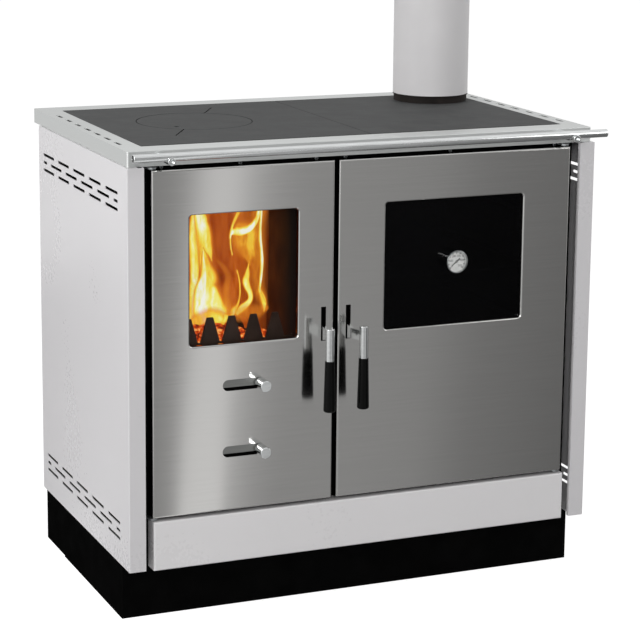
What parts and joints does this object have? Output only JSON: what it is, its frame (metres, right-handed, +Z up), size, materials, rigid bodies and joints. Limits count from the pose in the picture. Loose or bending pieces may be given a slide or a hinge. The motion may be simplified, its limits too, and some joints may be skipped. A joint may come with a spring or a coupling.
{
  "type": "wood cookstove",
  "caption": "Wood-burning cookstove with glazed firebox and oven doors, lift-out hob disc, wood drawer, vented enamelled sides, towel rail and flue pipe.",
  "frame": {"origin": "on the floor at the middle of the whole stove's bounding box", "axes": "+X to the right seen from the front, +Y towards the back, +Z up"},
  "size_m": [0.91, 0.6463, 1.1156],
  "materials": {
    "white_enamel": "gloss enamel",
    "stainless": "brushed",
    "polished_steel": "polished",
    "black_paint": "satin",
    "hob_grey": "ground, matte",
    "cast_iron": "matte",
    "pipe_enamel": "satin enamel",
    "glass": "clear",
    "rope": "braided",
    "firebrick": "rough",
    "black_grip": "moulded",
    "zinc": "zinc plated",
    "oven_enamel": "gloss enamel",
    "white_dial": "printed",
    "firewood": "charred",
    "flame": "clear"
  },
  "bodies": {
    "root": {"plinth_front": "black_paint", "plinth_rear": "black_paint", "levelling_feet": "zinc", "base_plate": "black_paint", "side_panel_left": "white_enamel", "side_panel_right": "white_enamel", "back_panel": "zinc", "face_frame": "black_paint", "body_shell": "black_paint", "face_screws": "zinc", "top_frame": "stainless", "cook_plate_left": "hob_grey", "cook_plate_right": "hob_grey", "flue_collar": "cast_iron", "flue_pipe": "pipe_enamel", "towel_rail": "polished_steel", "rail_end_plugs": "black_grip", "rail_posts": "polished_steel", "firebox_shell": "black_paint", "firebricks": "firebrick", "fire_grate": "cast_iron", "log_guard": "cast_iron", "ash_pan": "zinc", "oven_box": "oven_enamel", "rack_runners": "zinc", "oven_rack": "polished_steel", "smoke_baffle": "black_paint", "hinge_brackets": "zinc", "latch_keepers": "zinc", "drawer_runners": "zinc"},
    "firebox_door": {"fire_door_skin": "stainless", "fire_door_frame": "black_paint", "fire_door_glass": "glass", "fire_door_gasket": "rope", "fire_glass_clips": "zinc", "fire_hinge_pins": "zinc", "fire_latch_bracket": "zinc", "air_guides": "zinc"},
    "oven_door": {"oven_door_skin": "stainless", "oven_door_frame": "black_paint", "oven_door_glass": "glass", "oven_door_gasket": "rope", "oven_glass_clips": "zinc", "oven_hinge_pins": "zinc", "oven_latch_bracket": "zinc", "thermometer_case": "polished_steel", "thermometer_dial": "white_dial", "thermometer_lens": "glass"},
    "firebox_handle": {"fire_handle_lever": "polished_steel", "fire_handle_grip": "black_grip"},
    "oven_handle": {"oven_handle_lever": "polished_steel", "oven_handle_grip": "black_grip"},
    "upper_air": {"upper_air_shutter": "stainless", "upper_air_knob": "polished_steel"},
    "lower_air": {"lower_air_shutter": "stainless", "lower_air_knob": "polished_steel"},
    "drawer": {"drawer_front": "white_enamel", "drawer_box": "zinc"},
    "hob": {"hob_disc": "hob_grey"},
    "pointer": {"thermometer_pointer": "black_paint"}
  },
  "joints": [
    {"name": "firebox_door_swing", "type": "hinge", "parent": "root", "child": "firebox_door", "pos_m": [-0.4048, -0.24685, 0.5075], "axis": [0, 0, -1], "range_deg": [0, 98]},
    {"name": "oven_door_swing", "type": "hinge", "parent": "root", "child": "oven_door", "pos_m": [0.3973, -0.24685, 0.5075], "axis": [0, 0, 1], "range_deg": [0, 105]},
    {"name": "firebox_handle_lift", "type": "hinge", "parent": "firebox_door", "child": "firebox_handle", "pos_m": [-0.089, -0.24185, 0.508], "axis": [-1, 0, 0], "range_deg": [0, 45]},
    {"name": "oven_handle_lift", "type": "hinge", "parent": "oven_door", "child": "oven_handle", "pos_m": [-0.041, -0.24185, 0.508], "axis": [-1, 0, 0], "range_deg": [0, 45]},
    {"name": "upper_air_slide", "type": "slide", "parent": "firebox_door", "child": "upper_air", "axis": [-1, 0, 0], "range_m": [0, 0.058]},
    {"name": "lower_air_slide", "type": "slide", "parent": "firebox_door", "child": "lower_air", "axis": [-1, 0, 0], "range_m": [0, 0.058]},
    {"name": "drawer_slide", "type": "slide", "parent": "root", "child": "drawer", "axis": [0, -1, 0], "range_m": [0, 0.38]},
    {"name": "hob_lift", "type": "slide", "parent": "root", "child": "hob", "axis": [0, 0, 1], "range_m": [0, 0.06]},
    {"name": "thermometer_turn", "type": "hinge", "parent": "oven_door", "child": "pointer", "pos_m": [0.17, -0.26785, 0.619], "axis": [0, 1, 0], "range_deg": [0, 255]}
  ]
}
